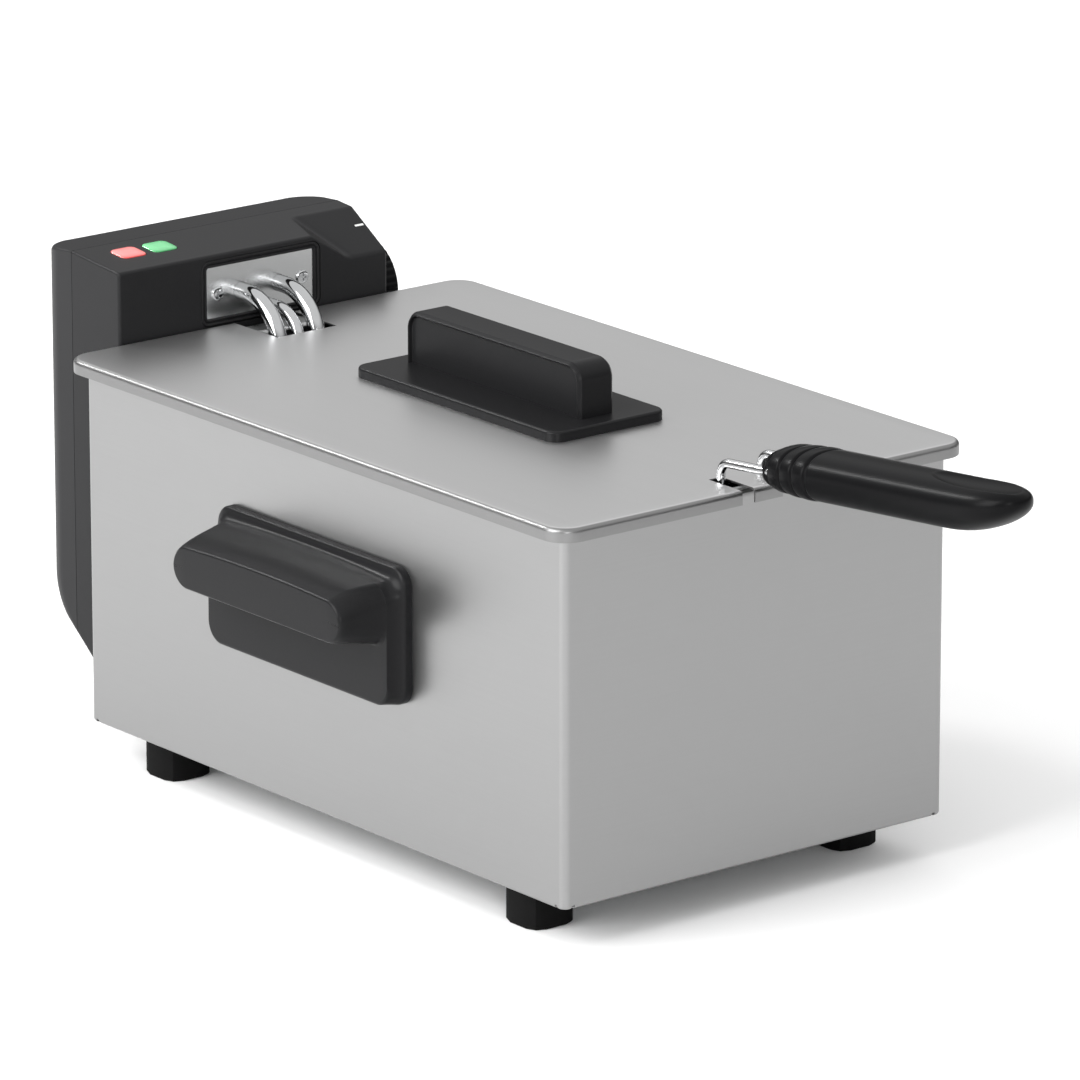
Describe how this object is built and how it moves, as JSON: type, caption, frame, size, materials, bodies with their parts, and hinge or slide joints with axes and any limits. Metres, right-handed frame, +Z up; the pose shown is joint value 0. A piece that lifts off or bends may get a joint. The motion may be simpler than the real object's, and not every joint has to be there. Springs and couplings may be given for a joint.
{
  "type": "deep fryer",
  "caption": "Countertop deep fryer: steel housing, lift-out oil pan, wire basket with plug-in handle, sheet lid with grip, and a lift-off control head carrying the heating loop.",
  "frame": {"origin": "on the worktop, under the middle of the whole object's box", "axes": "+Z up, +Y towards the control head at the rear, -Y towards the basket grip, +X towards the thermostat knob"},
  "size_m": [0.264, 0.5532, 0.2129],
  "materials": {
    "satin_steel": "satin",
    "pan_steel": "satin",
    "zinc_steel": "matt",
    "bright_steel": "polished",
    "basket_wire": "polished",
    "heater_tube": "polished",
    "head_black": "fine texture",
    "cover_black": "fine texture",
    "grip_black": "satin",
    "handle_black": "satin",
    "foot_rubber": "matt",
    "red_lens": "gloss",
    "green_lens": "gloss",
    "red_button": "satin",
    "phenolic": "matt",
    "copper_bulb": "satin"
  },
  "bodies": {
    "housing": {"housing_shell": "satin_steel", "base_plate": "zinc_steel", "feet": "foot_rubber", "foot_screws": "bright_steel", "side_handle_left": "handle_black", "side_handle_right": "handle_black", "handle_screws": "bright_steel", "head_bracket": "zinc_steel", "bracket_rivets": "bright_steel"},
    "pan": {"oil_pan": "pan_steel"},
    "head": {"head_front_shell": "head_black", "head_rear_cover": "cover_black", "cover_screws": "bright_steel", "element_bezel": "head_black", "element_plate": "bright_steel", "plate_screws": "bright_steel", "heating_element": "heater_tube", "element_support": "bright_steel", "capillary_tube": "bright_steel", "sensor_bulb": "copper_bulb", "thermostat_body": "phenolic", "cutout_switch": "phenolic", "interlock_switch": "phenolic", "terminal_block": "phenolic", "red_lamp_lens": "red_lens", "green_lamp_lens": "green_lens", "lamp_holders": "phenolic", "cord_gland": "head_black"},
    "knob": {"thermostat_knob": "grip_black", "thermostat_shaft": "bright_steel"},
    "reset": {"reset_button": "red_button"},
    "interlock": {"interlock_plunger": "phenolic"},
    "basket": {"basket_frame": "basket_wire", "basket_mesh": "basket_wire", "handle_socket": "basket_wire"},
    "basket_handle": {"handle_wires": "bright_steel", "handle_grip": "grip_black"},
    "lid": {"lid_panel": "satin_steel", "lid_handle_base": "handle_black", "lid_handle_grip": "handle_black", "lid_screws": "bright_steel"}
  },
  "joints": [
    {"name": "pan_lift", "type": "slide", "parent": "housing", "child": "pan", "axis": [0, 0, 1], "range_m": [0, 0.17]},
    {"name": "head_lift", "type": "slide", "parent": "pan", "child": "head", "axis": [0, 0, 1], "range_m": [0, 0.15]},
    {"name": "basket_lift", "type": "slide", "parent": "head", "child": "basket", "axis": [0, 0, 1], "range_m": [0, 0.14]},
    {"name": "lid_lift", "type": "slide", "parent": "basket", "child": "lid", "axis": [0, 0, 1], "range_m": [0, 0.1]},
    {"name": "handle_pull", "type": "slide", "parent": "basket", "child": "basket_handle", "axis": [0, 0, 1], "range_m": [0, 0.04]},
    {"name": "thermostat_turn", "type": "hinge", "parent": "head", "child": "knob", "pos_m": [0.07, 0.23659, 0.1766], "axis": [1, 0, 0], "range_deg": [0, 270]},
    {"name": "reset_press", "type": "slide", "parent": "head", "child": "reset", "axis": [0, -1, 0], "range_m": [0, 0.0018], "stiffness_N_per_m": 900, "springref_m": -0.002},
    {"name": "interlock_travel", "type": "slide", "parent": "head", "child": "interlock", "axis": [0, -1, 0], "range_m": [0, 0.003]}
  ],
  "couplings": [
    {"joint": "interlock_travel", "follows": "head_lift", "ratio": 0.02}
  ]
}
